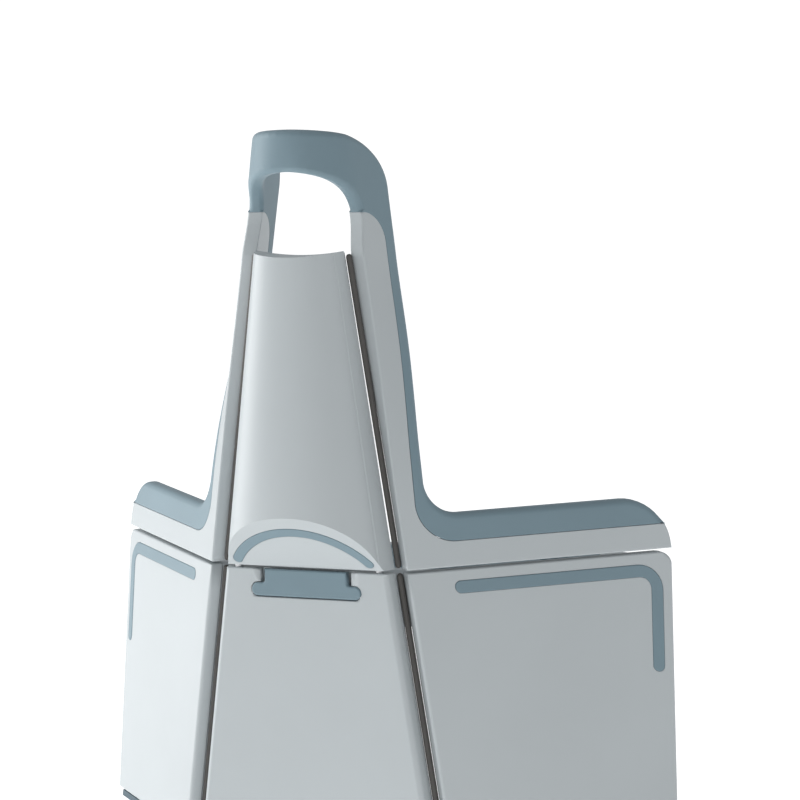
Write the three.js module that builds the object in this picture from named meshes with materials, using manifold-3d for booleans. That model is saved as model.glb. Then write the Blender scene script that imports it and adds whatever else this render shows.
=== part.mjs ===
// A folding step stool: a three-sided hollow base, a lift-out deck, and a guard with a grab handle.
// Millimetres, +Z up. The column faces -Y, and the object is symmetric in X.
// The side panels and the guard's wings fold about two inclined axes, one at each side of the front.
import * as THREE from "three";
import { mergeVertices } from "three/addons/utils/BufferGeometryUtils.js";
import Module from "manifold-3d";

const wasm = await Module();
wasm.setup();

// Overall sizes
const SEAM_HEIGHT = 280; // floor to the level seam between the base and the guard
const GUARD_HEIGHT = 421; // seam to the crest of the handle loop
const SIDE_LENGTH = 277; // from the fold axis to a side's free edge, at the seam
const AXIS_HALF = 92.4; // half the distance between the two fold axes, at the seam
const FLARE = 0.142; // how far each fold axis leans out for each millimetre down
const FOLD_ANGLE = THREE.MathUtils.degToRad(44); // how far the sides are folded back from the front

// Walls and clearances
const WALL = 15; // full thickness of a panel
const SKIN = 3;
const LINER = 2.5;
const CLEAR = 0.3; // between pieces that touch
const SEAM_GAP = 3;
const TWIST_SLICE = 26; // between the cuts that let a plate follow the twist
const BEND_SLICE = 9; // the same round the loop's bends
const SLICE_TOLERANCE = 1e-5;
const EDGE_GAP = 3.2; // from a fold axis to the edges of the panels beside it
const HINGE_RADIUS = 2.9;
const FRONT_DRAFT = 4; // how much narrower the front's face is than its back, each side
const FOOT_HEIGHT = 6;
const FOOT_MARGIN = 12;
const CORNER_RADIUS = 12;

// Guard: rails, necks and handle loop
const RAIL_HEIGHT = 52;
const RAIL_CORNER = 44;
const NECK_WIDTH = 30; // neck from the fold axis to its rear edge, at the seam
const NECK_GROWTH = 0.056; // extra neck width for each millimetre up
const NECK_SPREAD = 13.5; // extra neck width gained where the twist is strongest
const SPREAD_START = 110;
const SPREAD_END = GUARD_HEIGHT - 111;
const NECK_FILLET = 30; // between the rear edge of the neck and the top of the rail
const NECK_TWIST = THREE.MathUtils.degToRad(36); // how far the neck turns towards the rear
const TWIST_START = RAIL_HEIGHT;
const TWIST_END = GUARD_HEIGHT - 121;
const NECK_TOP = GUARD_HEIGHT - 91; // where the hard neck ends and the soft loop starts
const SOFT_RAIL = 26; // height of the soft edge on the rail
const SOFT_NECK = 12; // width of the soft edge on the neck
const SOFT_SPREAD = 6; // extra width of the soft edge at the neck's top
const HOLE_MARGIN = 11; // from the fold axis to the hand hole's side
const HOLE_START = GUARD_HEIGHT - 113; // where the neck's front edge starts to curve away from the column
const HOLE_TOP = GUARD_HEIGHT - 40;
const LOOP_BEND = 33; // inner radius of the loop's two bends, seen from above
const LOOP_SHOULDER = GUARD_HEIGHT - 63; // where the loop's outline starts to round over
const LOOP_POWER = 2.05; // the superellipse of the loop's outline; 2 is an ellipse

// Column
const COLUMN_TOP = GUARD_HEIGHT - 116;
const COLUMN_SCOOP = 4; // depth of the hollow in the column's top edge
const COLUMN_BULGE = 0.5; // the bulge's depth for each millimetre of half width
const COLUMN_POWER = 2.1; // the superellipse of the bulge's plan section
const COLUMN_SWEEP = THREE.MathUtils.degToRad(84); // how far round the superellipse the bulge goes
const COLUMN_FLANK = 8; // width of the flat strip at each side of the bulge
const TOE_LEAN = 0.7; // how far the toe face leans forward for each millimetre up
const ARC_HALF_CHORD = 70;
const ARC_LOW = 8; // lower ends of the arc strip, along the toe face
const ARC_HIGH = 46;
const STRIP_WIDTH = 12;
const STRIP_PROUD = 0.5;
const POCKET_DEPTH = 1.2;

// Corner strips on the side panels
const STRIP_START = 57; // its inner end, from the fold axis
const STRIP_TOP_MARGIN = 18; // from the seam to the strip's centre
const STRIP_EDGE_MARGIN = 17; // from the free edge to the strip's centre
const STRIP_LOW = 111; // its lower end, below the seam
const STRIP_BEND = 20;

// Latch under the seam
const TAB_NECK_HALF = 46;
const TAB_NECK_DEPTH = 15; // from the seam to the flange
const TAB_FLANGE_HALF = 61;
const TAB_FLANGE_HEIGHT = 13;
const TAB_THICKNESS = 5;
const TAB_PROUD = 1.2;
const TAB_GAP = 1; // between the flange and its pocket
const SLOT_GAP = 5;
const PIVOT_RISE = 3; // the pivot above the flange's lower edge
const PIN_RADIUS = 1.2;
const SPRING_THICKNESS = 0.8;
const BLOCK_MARGIN = 6; // solid front panel around the latch

// Deck and what carries it
const DECK_DROP = 6; // the deck's top below the seam
const DECK_THICKNESS = 16;
const DECK_FRONT = 50;
const DECK_REAR = 204;
const DECK_SIDE_GAP = 3; // to the rails as the deck lifts past them
const DECK_WALL = 3;
const DECK_CORNER = 14;
const MAT_THICKNESS = 2;
const MAT_MARGIN = 12;
const MAT_PROUD = 1;
const RIB_SPACING = 36;
const RIB_THICKNESS = 2.4;
const APRON_HEIGHT = 60;
const APRON_THICKNESS = 4;
const BEAM_HEIGHT = 50;
const BEAM_SCREW_X = 40;
const BEAM_SCREW_DROP = 37; // below the seam
const BEAM_SHELF = 24; // how far the beam's shelf reaches under the deck
const BEAM_SIDE_GAP = 5;
const LEDGE_START = 92;
const LEDGE_END = 222;
const LEDGE_WIDTH = 22;
const LEDGE_LIP = 4;
const LEDGE_DEPTH = 26;
const LEDGE_SLOPE = 0.16; // fall for each millimetre inwards, so that an opening side never lifts the deck
const LEDGE_SCREW_MARGIN = 20; // from a ledge's end to its screw
const LEDGE_SCREW_DROP = 9;

// Fasteners
const SCREW_RADIUS = 2;
const HEAD_RADIUS = 4;
const HEAD_THICKNESS = 2;
const BOSS_RADIUS = 5;
const BACK_SCREW_HEIGHTS = [60, COLUMN_TOP - 65]; // above the seam
const BACK_SCREW_MARGIN = 18; // from the column's edge
const TENON_RADIUS = 4;
const TENON_REACH = 14; // how far a tenon reaches to each side of the seam
const TENON_X = 75;

// Finishes
const FINISH = {
  shell: { color: 0xd3d9db, roughness: 0.42 },
  liner: { color: 0xc3c9cc, roughness: 0.6 },
  soft: { color: 0x7d959f, roughness: 0.75 },
  hinge: { color: 0x3d4446, roughness: 0.8 },
  foot: { color: 0x5d6f77, roughness: 0.9 },
  steel: { color: 0xb8bcc0, roughness: 0.3, metalness: 1 },
};

const object = new THREE.Group();

// A named mesh with its own material.
function place(name, finish, geometry, parent = object) {
  const mesh = new THREE.Mesh(geometry, new THREE.MeshStandardMaterial({ metalness: 0, ...FINISH[finish] }));
  mesh.name = name;
  parent.add(mesh);
  return mesh;
}

// A geometry as a manifold-3d solid.
function solid(geometry) {
  const bare = geometry.clone();
  bare.deleteAttribute("normal");
  bare.deleteAttribute("uv");
  const merged = mergeVertices(bare, 1e-4);
  return new wasm.Manifold(
    new wasm.Mesh({
      numProp: 3,
      vertProperties: merged.attributes.position.array,
      triVerts: new Uint32Array(merged.index.array),
    }),
  );
}

// A manifold-3d solid as a geometry.
function geometryOf(body) {
  const mesh = body.getMesh();
  const geometry = new THREE.BufferGeometry();
  geometry.setAttribute("position", new THREE.BufferAttribute(mesh.vertProperties, 3));
  geometry.setIndex(new THREE.BufferAttribute(mesh.triVerts, 1));
  geometry.computeVertexNormals();
  return geometry;
}

// Moves every vertex of a geometry by a function of its three coordinates.
function mapped(geometry, move) {
  const position = geometry.attributes.position;
  for (let i = 0; i < position.count; i += 1) {
    position.setXYZ(i, ...move(position.getX(i), position.getY(i), position.getZ(i)));
  }
  return geometry;
}

// The parts of a triangle to each side of a plane across an axis, as triangles.
function splitTriangle(points, axis, level) {
  const exact = points.map((point) => point[axis] - level);
  const offsets = exact.map((offset) => (Math.abs(offset) < SLICE_TOLERANCE ? 0 : offset));
  const below = [];
  const above = [];
  points.forEach((start, i) => {
    const next = (i + 1) % points.length;
    if (offsets[i] <= 0) below.push(start);
    if (offsets[i] >= 0) above.push(start);
    if (offsets[i] * offsets[next] >= 0) return;
    const [low, high] = offsets[i] < 0 ? [start, points[next]] : [points[next], start];
    const share = (level - low[axis]) / (high[axis] - low[axis]);
    const crossing = low.map((value, k) => value + (high[k] - value) * share);
    below.push(crossing);
    above.push(crossing);
  });
  const fan = (polygon) => polygon.slice(2).map((point, i) => [polygon[0], polygon[i + 1], point]);
  return [below, above].filter((part) => part.length > 2).flatMap(fan);
}

// The same surface with its triangles cut at even steps along an axis, so that it can follow a bend.
function sliced(geometry, axis, spacing) {
  const values = Array.from(geometry.attributes.position.array);
  const points = Array.from({ length: values.length / 3 }, (_, i) => values.slice(3 * i, 3 * i + 3));
  let triangles = Array.from({ length: points.length / 3 }, (_, i) => points.slice(3 * i, 3 * i + 3));
  const reach = points.map((point) => point[axis]);
  const highest = Math.max(...reach);
  for (let level = Math.min(...reach) + spacing; level < highest; level += spacing) {
    triangles = triangles.flatMap((triangle) => splitTriangle(triangle, axis, level));
  }
  const cut = new THREE.BufferGeometry();
  return cut.setAttribute("position", new THREE.Float32BufferAttribute(triangles.flat(2), 3));
}

function extruded(points, low, high) {
  const shape = new THREE.Shape(points.map(([x, y]) => new THREE.Vector2(x, y)));
  const geometry = new THREE.ExtrudeGeometry(shape, { depth: high - low, bevelEnabled: false });
  return geometry.translate(0, 0, low);
}

// A plan outline, extruded between two heights above the seam.
const slab = (points, low, high) => solid(extruded(points, SEAM_HEIGHT + low, SEAM_HEIGHT + high));

// An outline in X and height above the seam, extruded from the front towards the rear.
function wallBlock(points, front, rear) {
  return solid(flipped(mapped(extruded(points, front, rear), (x, h, y) => [x, y, SEAM_HEIGHT + h])));
}

// The same triangles with the other side facing out.
function flipped(geometry) {
  const position = geometry.attributes.position;
  const swap = new THREE.Vector3();
  const other = new THREE.Vector3();
  for (let i = 0; i < position.count; i += 3) {
    swap.fromBufferAttribute(position, i + 1);
    other.fromBufferAttribute(position, i + 2);
    position.setXYZ(i + 1, other.x, other.y, other.z);
    position.setXYZ(i + 2, swap.x, swap.y, swap.z);
  }
  return geometry;
}

function rod(from, to, radius, segments = 16) {
  const start = new THREE.Vector3(...from);
  const end = new THREE.Vector3(...to);
  const along = end.clone().sub(start);
  const up = new THREE.Vector3(0, 1, 0);
  const turn = new THREE.Quaternion().setFromUnitVectors(up, along.clone().normalize());
  const geometry = new THREE.CylinderGeometry(radius, radius, along.length(), segments);
  geometry.applyQuaternion(turn);
  const middle = start.add(end).multiplyScalar(0.5);
  return solid(geometry.translate(middle.x, middle.y, middle.z));
}

// Points of an arc about a centre, from one angle to another, in degrees.
function arc(cx, cy, radius, from, to, steps = 8) {
  return Array.from({ length: steps + 1 }, (_, i) => {
    const angle = THREE.MathUtils.degToRad(from + ((to - from) * i) / steps);
    return [cx + radius * Math.cos(angle), cy + radius * Math.sin(angle)];
  });
}

// The outline of a band of constant width with round ends, along a centre line.
function band(line, halfWidth) {
  const side = (sign) =>
    line.map(([x, y], i) => {
      const [ax, ay] = line[Math.max(i - 1, 0)];
      const [bx, by] = line[Math.min(i + 1, line.length - 1)];
      const length = Math.hypot(bx - ax, by - ay);
      return [x - (sign * halfWidth * (by - ay)) / length, y + (sign * halfWidth * (bx - ax)) / length];
    });
  const headingAt = (a, b) => THREE.MathUtils.radToDeg(Math.atan2(b[1] - a[1], b[0] - a[0]));
  const last = headingAt(line.at(-2), line.at(-1));
  const first = headingAt(line[1], line[0]);
  const endCap = arc(...line.at(-1), halfWidth, last - 90, last + 90).slice(1, -1);
  const startCap = arc(...line[0], halfWidth, first - 90, first + 90).slice(1, -1);
  return [...side(-1), ...endCap, ...side(1).reverse(), ...startCap];
}

// Folded sides: s runs from the fold axis along the side, h is the height above the seam,
// and t goes from the inner face, which holds the fold axis, to the outer face.
const axisHalf = (h) => AXIS_HALF - FLARE * h;
const spread = (h) => THREE.MathUtils.smoothstep(h, SPREAD_START, SPREAD_END);
const neckRear = (h) => NECK_WIDTH + NECK_GROWTH * h + NECK_SPREAD * spread(h);
const freeEdge = (h) => SIDE_LENGTH + FLARE * h;

function foldAngle(h) {
  return FOLD_ANGLE + NECK_TWIST * THREE.MathUtils.smoothstep(h, TWIST_START, TWIST_END);
}

function sidePoint(s, h, t) {
  const angle = foldAngle(h);
  const x = axisHalf(h) + s * Math.cos(angle) + t * Math.sin(angle);
  const y = WALL + s * Math.sin(angle) - t * Math.cos(angle);
  return [x, y, SEAM_HEIGHT + h];
}

const sidePlate = (points, inner, outer) => solid(mapped(extruded(points, inner, outer), sidePoint));

// The same for a plate that reaches into the twisted neck.
function twistedPlate(points, inner, outer) {
  return solid(mapped(sliced(extruded(points, inner, outer), 1, TWIST_SLICE), sidePoint));
}

// The loop: c runs from the crest's middle plane outwards, along the loop's inner face.
function loopPoint(c, h, t) {
  const angle = foldAngle(h);
  const flat = axisHalf(h) + HOLE_MARGIN * Math.cos(angle) - LOOP_BEND * Math.sin(angle);
  const front = WALL + HOLE_MARGIN * Math.sin(angle) - LOOP_BEND * (1 - Math.cos(angle));
  if (c <= flat) return [c, front - t, SEAM_HEIGHT + h];
  const turned = (c - flat) / LOOP_BEND;
  if (turned >= angle) return sidePoint(c - flat - LOOP_BEND * angle + HOLE_MARGIN, h, t);
  const radius = LOOP_BEND + t;
  const y = front + LOOP_BEND - radius * Math.cos(turned);
  return [flat + radius * Math.sin(turned), y, SEAM_HEIGHT + h];
}

// The loop's c for a place on the side at s.
function loopReach(s, h) {
  const angle = foldAngle(h);
  const flat = axisHalf(h) + HOLE_MARGIN * Math.cos(angle) - LOOP_BEND * Math.sin(angle);
  return flat + LOOP_BEND * angle + s - HOLE_MARGIN;
}

// Heights from one to another in even steps.
function steps(from, to, spacing = 12) {
  const count = Math.max(1, Math.round(Math.abs(to - from) / spacing));
  return Array.from({ length: count + 1 }, (_, i) => from + ((to - from) * i) / count);
}

// Base: front panel with its latch
const frontBottom = -SEAM_HEIGHT + FOOT_HEIGHT + CLEAR;
const frontTop = -SEAM_GAP / 2;
const frontHalf = (h) => axisHalf(h) - EDGE_GAP;
const tabTop = frontTop;
const flangeTop = -TAB_NECK_DEPTH;
const flangeBottom = flangeTop - TAB_FLANGE_HEIGHT;
const pivotHeight = flangeBottom + PIVOT_RISE;
const tabBack = TAB_THICKNESS - TAB_PROUD;
const trayBack = WALL - LINER - CLEAR;

function frontOutline(margin) {
  const low = frontBottom + margin;
  const high = frontTop - margin;
  const left = (h) => -frontHalf(h) + margin;
  return [[left(low), low], [-left(low), low], [-left(high), high], [left(high), high]];
}

// Narrows the front face of a block by the draft.
function drafted(geometry) {
  return mapped(geometry, (x, y, z) => [x - Math.sign(x) * FRONT_DRAFT * (1 - y / WALL), y, z]);
}

function frontTray() {
  const outer = extruded(frontOutline(0), 0, trayBack);
  const placed = flipped(mapped(outer, (x, h, y) => [x, y, SEAM_HEIGHT + h]));
  const body = solid(drafted(placed));
  const hollow = wallBlock(frontOutline(SKIN + FRONT_DRAFT), SKIN, WALL);
  return body.subtract(hollow);
}

function rectangle(halfWidth, low, high) {
  return [[-halfWidth, low], [halfWidth, low], [halfWidth, high], [-halfWidth, high]];
}

function tabOutline(gap) {
  const middle = (flangeTop + flangeBottom) / 2;
  const radius = TAB_FLANGE_HEIGHT / 2 + gap;
  const end = TAB_FLANGE_HALF - TAB_FLANGE_HEIGHT / 2;
  return [...arc(end, middle, radius, -90, 90), ...arc(-end, middle, radius, 90, 270)];
}

const beamScrewZ = SEAM_HEIGHT - BEAM_SCREW_DROP;

function frontPanel() {
  const blockLow = flangeBottom - BLOCK_MARGIN;
  const blockHalf = TAB_FLANGE_HALF + BLOCK_MARGIN;
  let body = frontTray().add(wallBlock(rectangle(blockHalf, blockLow, frontTop), 0, trayBack));
  body = body.subtract(wallBlock(tabOutline(TAB_GAP), -TAB_PROUD, tabBack + PIVOT_RISE / 2));
  const slot = rectangle(TAB_NECK_HALF + SLOT_GAP, flangeTop, SEAM_GAP);
  body = body.subtract(wallBlock(slot, -TAB_PROUD, WALL - SKIN * 2));
  const pinHalf = TAB_FLANGE_HALF + BLOCK_MARGIN / 2 + CLEAR;
  body = body.subtract(pivotRod(pinHalf, PIN_RADIUS + CLEAR));
  for (const x of [-TENON_X, TENON_X]) {
    body = body.subtract(tenonRod(x, TENON_RADIUS + CLEAR, TENON_REACH + SKIN));
  }
  for (const x of [-BEAM_SCREW_X, BEAM_SCREW_X]) {
    const boss = rod([x, SKIN / 2, beamScrewZ], [x, trayBack, beamScrewZ], BOSS_RADIUS);
    body = body.add(boss).subtract(beamScrewRod(x, SCREW_RADIUS + CLEAR, SKIN + 1));
  }
  return body;
}

const pivotY = TAB_THICKNESS / 2 - TAB_PROUD;
function pivotRod(half, radius) {
  const z = SEAM_HEIGHT + pivotHeight;
  return rod([-half, pivotY, z], [half, pivotY, z], radius);
}

function tenonRod(x, radius, reach) {
  return rod([x, WALL / 2, SEAM_HEIGHT - reach], [x, WALL / 2, SEAM_HEIGHT + reach], radius);
}

const beamWall = WALL + CLEAR + SKIN; // the inner face of the beam's front wall
function beamScrewRod(x, radius, from) {
  return rod([x, from, beamScrewZ], [x, beamWall + CLEAR, beamScrewZ], radius);
}

function latchTab() {
  const flange = wallBlock(tabOutline(0), -TAB_PROUD, tabBack);
  const neckOutline = rectangle(TAB_NECK_HALF, flangeTop - TAB_FLANGE_HEIGHT / 2, tabTop);
  const neck = wallBlock(neckOutline, -TAB_PROUD / 2, tabBack);
  return flange.add(neck).subtract(pivotRod(TAB_FLANGE_HALF + 1, PIN_RADIUS + CLEAR));
}

function latchSpring() {
  const leaf = rectangle(TAB_NECK_HALF / 3, flangeTop + 1, tabTop - 3);
  return wallBlock(leaf, tabBack + CLEAR, tabBack + CLEAR + SPRING_THICKNESS);
}

function frontLiner() {
  let liner = wallBlock(frontOutline(CLEAR), WALL - LINER, WALL);
  for (const x of [-BEAM_SCREW_X, BEAM_SCREW_X]) {
    liner = liner.subtract(beamScrewRod(x, SCREW_RADIUS + CLEAR, 0));
  }
  return liner;
}

place("front_panel", "shell", geometryOf(frontPanel()));
place("front_liner", "liner", geometryOf(frontLiner()));
place("latch_tab", "soft", geometryOf(latchTab()));
place("latch_pin", "steel", geometryOf(pivotRod(TAB_FLANGE_HALF + BLOCK_MARGIN / 2, PIN_RADIUS)));
place("latch_spring", "steel", geometryOf(latchSpring()));
const frontFoot = rectangle(frontHalf(-SEAM_HEIGHT) - FOOT_MARGIN, -SEAM_HEIGHT, -SEAM_HEIGHT + FOOT_HEIGHT);
place("front_foot", "foot", geometryOf(wallBlock(frontFoot, 1, WALL - 1)));

// Deck: a wedge that lifts out between the rails
const deckTop = -DECK_DROP;
const deckBottom = deckTop - DECK_THICKNESS;

// Half width between the inner faces of the sides at a distance from the front and a height.
const innerHalf = (y, h) => axisHalf(h) + (y - WALL) / Math.tan(FOLD_ANGLE);

function deckHalf(y, margin) {
  return innerHalf(y, RAIL_HEIGHT) - (DECK_SIDE_GAP + margin) / Math.sin(FOLD_ANGLE);
}

function deckOutline(margin) {
  const front = DECK_FRONT + margin;
  const rear = DECK_REAR - margin;
  const cut = DECK_CORNER;
  const right = [
    [deckHalf(front, margin), front],
    [deckHalf(rear - cut, margin), rear - cut],
    [deckHalf(rear - cut, margin) - cut / 4, rear - cut / 4],
    [deckHalf(rear - cut, margin) - cut, rear],
  ];
  return [...right, ...right.map(([x, y]) => [-x, y]).reverse()];
}

function deckRibs() {
  let ribs = null;
  const add = (outline) => {
    const rib = slab(outline, deckBottom + 1, deckTop - DECK_WALL + 1);
    ribs = ribs ? ribs.add(rib) : rib;
  };
  const half = deckHalf(DECK_REAR, 0);
  const ribsBeside = Math.floor(half / RIB_SPACING);
  for (let i = -ribsBeside; i <= ribsBeside; i += 1) {
    const left = i * RIB_SPACING - RIB_THICKNESS / 2;
    const right = left + RIB_THICKNESS;
    add([[left, DECK_FRONT], [right, DECK_FRONT], [right, DECK_REAR], [left, DECK_REAR]]);
  }
  for (let y = DECK_FRONT + RIB_SPACING; y < DECK_REAR; y += RIB_SPACING) {
    add([[-half, y], [half, y], [half, y + RIB_THICKNESS], [-half, y + RIB_THICKNESS]]);
  }
  return ribs.intersect(slab(deckOutline(1), deckBottom, deckTop));
}

function deckBoard() {
  const body = slab(deckOutline(0), deckBottom, deckTop);
  const hollow = slab(deckOutline(DECK_WALL), deckBottom - 1, deckTop - DECK_WALL);
  const seatFloor = deckTop - MAT_THICKNESS + MAT_PROUD - CLEAR;
  const seat = slab(deckOutline(MAT_MARGIN - CLEAR), seatFloor, deckTop + 1);
  return body.subtract(hollow).add(deckRibs()).subtract(seat);
}

place("deck_board", "shell", geometryOf(deckBoard()));
const mat = slab(deckOutline(MAT_MARGIN), deckTop - MAT_THICKNESS + MAT_PROUD, deckTop + MAT_PROUD);
place("deck_mat", "soft", geometryOf(mat));
const apronHalf = deckHalf(DECK_REAR - DECK_CORNER, DECK_CORNER);
const apronLow = deckBottom - CLEAR - APRON_HEIGHT;
const apronPlan = [[-apronHalf, DECK_REAR - APRON_THICKNESS], [apronHalf, DECK_REAR - APRON_THICKNESS],
  [apronHalf, DECK_REAR], [-apronHalf, DECK_REAR]];
place("deck_apron", "shell", geometryOf(slab(apronPlan, apronLow, deckBottom - CLEAR)));

// Front beam: fills the gap ahead of the deck, with a shelf under the deck's front edge
function beamOutline(front, rear, margin) {
  const half = (y) => innerHalf(y, deckTop) - (BEAM_SIDE_GAP + margin) / Math.sin(FOLD_ANGLE);
  return [[half(front), front], [half(rear), rear], [-half(rear), rear], [-half(front), front]];
}

function frontBeam() {
  const low = deckTop - BEAM_HEIGHT;
  const front = WALL + CLEAR;
  const rear = DECK_FRONT - CLEAR;
  const shelfTop = deckBottom - CLEAR;
  let body = slab(beamOutline(front, rear, 0), low, deckTop);
  body = body.add(slab(beamOutline(front, rear + BEAM_SHELF, 0), low, shelfTop));
  const inside = slab(beamOutline(front + SKIN, rear - SKIN, SKIN), low - 1, deckTop - SKIN);
  const shelfRear = rear + BEAM_SHELF - SKIN;
  const shelfInside = slab(beamOutline(front + SKIN, shelfRear, SKIN), low - 1, shelfTop - SKIN);
  body = body.subtract(inside).subtract(shelfInside);
  for (const x of [-BEAM_SCREW_X, BEAM_SCREW_X]) {
    body = body.subtract(beamScrewRod(x, SCREW_RADIUS + CLEAR, 0));
  }
  return body;
}

place("front_beam", "liner", geometryOf(frontBeam()));
for (const [name, x] of [["beam_screw_left", -BEAM_SCREW_X], ["beam_screw_right", BEAM_SCREW_X]]) {
  const front = beamWall + CLEAR;
  const head = rod([x, front, beamScrewZ], [x, front + HEAD_THICKNESS, beamScrewZ], HEAD_RADIUS);
  const shank = rod([x, SKIN * 2, beamScrewZ], [x, front + 1, beamScrewZ], SCREW_RADIUS);
  place(name, "steel", geometryOf(head.add(shank)));
}

// Column of the guard
const columnHalf = (h) => axisHalf(h) - EDGE_GAP;
const columnLow = SEAM_GAP / 2;

// The bulge's plan line, from its left end to its right end.
function bulgeLine(half, depth) {
  const count = 12;
  const widest = Math.sin(COLUMN_SWEEP) ** (2 / COLUMN_POWER);
  const right = Array.from({ length: count + 1 }, (_, i) => {
    const turn = (COLUMN_SWEEP * i) / count;
    const across = Math.sin(turn) ** (2 / COLUMN_POWER) / widest;
    return [half * across, -depth * Math.cos(turn) ** (2 / COLUMN_POWER)];
  });
  const left = right.slice(1).map(([x, y]) => [-x, y]);
  return [...left.reverse(), ...right];
}

// A block with the column's tapering plan section, inset by a margin.
function columnBlock(low, high, margin, back) {
  const half = columnHalf(low) - margin;
  const bulgeHalf = columnHalf(low) - COLUMN_FLANK - margin;
  const bulge = COLUMN_BULGE * (columnHalf(low) - COLUMN_FLANK) - margin;
  const front = bulgeLine(bulgeHalf, bulge);
  const points = [...front, [half, back], [-half, back]];
  const taper = columnHalf(high) / columnHalf(low);
  const block = extruded(points, low, high);
  return solid(mapped(block, (x, y, z) => {
    const ratio = 1 + ((taper - 1) * (z - low)) / (high - low);
    return [x * ratio, y < 0 ? y * ratio : y, z + SEAM_HEIGHT];
  }));
}

// Everything below the inclined toe face, moved up by a margin.
function toeCutter(margin) {
  const reach = AXIS_HALF;
  const low = columnLow + margin;
  const far = -2 * reach;
  const face = [[0, low], [-TOE_LEAN * reach, low + reach]];
  const points = [...face, [far, low + reach], [far, low - reach], [0, low - reach]];
  const geometry = extruded(points, far, -far);
  return solid(mapped(geometry, (y, h, x) => [x, y, SEAM_HEIGHT + h]));
}

// The round hollow across the column's top edge, seen from the front.
function scoopCutter(margin) {
  const half = columnHalf(COLUMN_TOP);
  const radius = (half ** 2 + COLUMN_SCOOP ** 2) / (2 * COLUMN_SCOOP);
  const swing = 2 * THREE.MathUtils.radToDeg(Math.asin(half / radius));
  const low = COLUMN_TOP - COLUMN_SCOOP - margin;
  const points = arc(0, low + radius, radius, -90 - swing, -90 + swing, 24);
  return wallBlock(points, -3 * WALL, 3 * WALL);
}

const backScrews = BACK_SCREW_HEIGHTS.flatMap((h) =>
  [-1, 1].map((side) => [side * (columnHalf(h) - BACK_SCREW_MARGIN), h]),
);

function backScrewRod(x, h, from, to, radius) {
  return rod([x, from, SEAM_HEIGHT + h], [x, to, SEAM_HEIGHT + h], radius);
}

function columnShell() {
  const body = columnBlock(columnLow, COLUMN_TOP, 0, trayBack);
  let hollow = columnBlock(columnLow + SKIN, COLUMN_TOP, SKIN, 2 * WALL);
  hollow = hollow.subtract(toeCutter(SKIN * 1.5)).subtract(scoopCutter(SKIN));
  let shell = body.subtract(hollow);
  for (const [x, h] of backScrews) {
    const boss = backScrewRod(x, h, -2 * WALL, trayBack, BOSS_RADIUS).intersect(body);
    shell = shell.add(boss).subtract(backScrewRod(x, h, 0, WALL, SCREW_RADIUS + CLEAR));
  }
  shell = shell.subtract(toeCutter(0)).subtract(scoopCutter(0)).subtract(arcStrip(CLEAR, -POCKET_DEPTH, 1));
  for (const x of [-TENON_X, TENON_X]) {
    shell = shell.subtract(tenonRod(x, TENON_RADIUS + CLEAR, TENON_REACH + SKIN));
  }
  return shell;
}

// The arc strip's band, between two heights over the toe face.
function arcStrip(gap, low, high) {
  const rise = ARC_HIGH - ARC_LOW;
  const radius = (ARC_HALF_CHORD ** 2 + rise ** 2) / (2 * rise);
  const swing = THREE.MathUtils.radToDeg(Math.asin(ARC_HALF_CHORD / radius));
  const line = arc(0, ARC_HIGH - radius, radius, 90 + swing, 90 - swing, 20);
  const outline = band(line, STRIP_WIDTH / 2 - 1 + gap);
  const lean = Math.atan(TOE_LEAN);
  const geometry = extruded(outline, low, high);
  return solid(mapped(geometry, (x, v, n) => [
    x,
    -v * Math.sin(lean) - n * Math.cos(lean),
    SEAM_HEIGHT + columnLow + v * Math.cos(lean) - n * Math.sin(lean),
  ]));
}

function columnBack() {
  const block = columnBlock(columnLow + CLEAR, COLUMN_TOP, SKIN / 2, WALL);
  const plate = wallBlock(rectangle(2 * AXIS_HALF, 0, 2 * COLUMN_TOP), WALL - LINER, WALL);
  let back = block.intersect(plate).subtract(scoopCutter(SKIN / 2));
  for (const [x, h] of backScrews) {
    back = back.subtract(backScrewRod(x, h, 0, 2 * WALL, SCREW_RADIUS + CLEAR));
  }
  return back;
}

place("column_shell", "shell", geometryOf(columnShell()));
place("column_back", "liner", geometryOf(columnBack()));
place("arc_strip", "soft", geometryOf(arcStrip(0, -POCKET_DEPTH + CLEAR, STRIP_PROUD)));
backScrews.forEach(([x, h], i) => {
  const head = backScrewRod(x, h, WALL + CLEAR, WALL + CLEAR + HEAD_THICKNESS, HEAD_RADIUS);
  const shank = backScrewRod(x, h, 1, WALL + CLEAR + 1, SCREW_RADIUS);
  place(`column_screw_${i + 1}`, "steel", geometryOf(head.add(shank)));
});

// Side pieces, made once for the right and once more in a mirrored group for the left
const sideLow = -SEAM_HEIGHT + FOOT_HEIGHT + CLEAR;
const sideHigh = -SEAM_GAP / 2;

function sideOutline(margin) {
  const low = sideLow + margin;
  const high = sideHigh - margin;
  const round = CORNER_RADIUS - Math.min(margin, CORNER_RADIUS - 2);
  const rear = (h) => freeEdge(h) - margin;
  const corner = arc(rear(high - round) - round, high - round, round, 0, 90, 5);
  const front = EDGE_GAP + margin;
  return [[front, low], [rear(low), low], ...corner, [front, high]];
}

// The centre line of the corner strip, which keeps its distance from the leaning free edge.
function stripLine() {
  const rear = SIDE_LENGTH - STRIP_EDGE_MARGIN;
  const bend = arc(rear - STRIP_BEND, -STRIP_TOP_MARGIN - STRIP_BEND, STRIP_BEND, 90, 0);
  const flat = [[STRIP_START, -STRIP_TOP_MARGIN], ...bend, [rear, -STRIP_LOW]];
  return flat.map(([s, h]) => [s + FLARE * h, h]);
}

const cornerStrip = (gap, low, high) => sidePlate(band(stripLine(), STRIP_WIDTH / 2 + gap), low, high);

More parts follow.
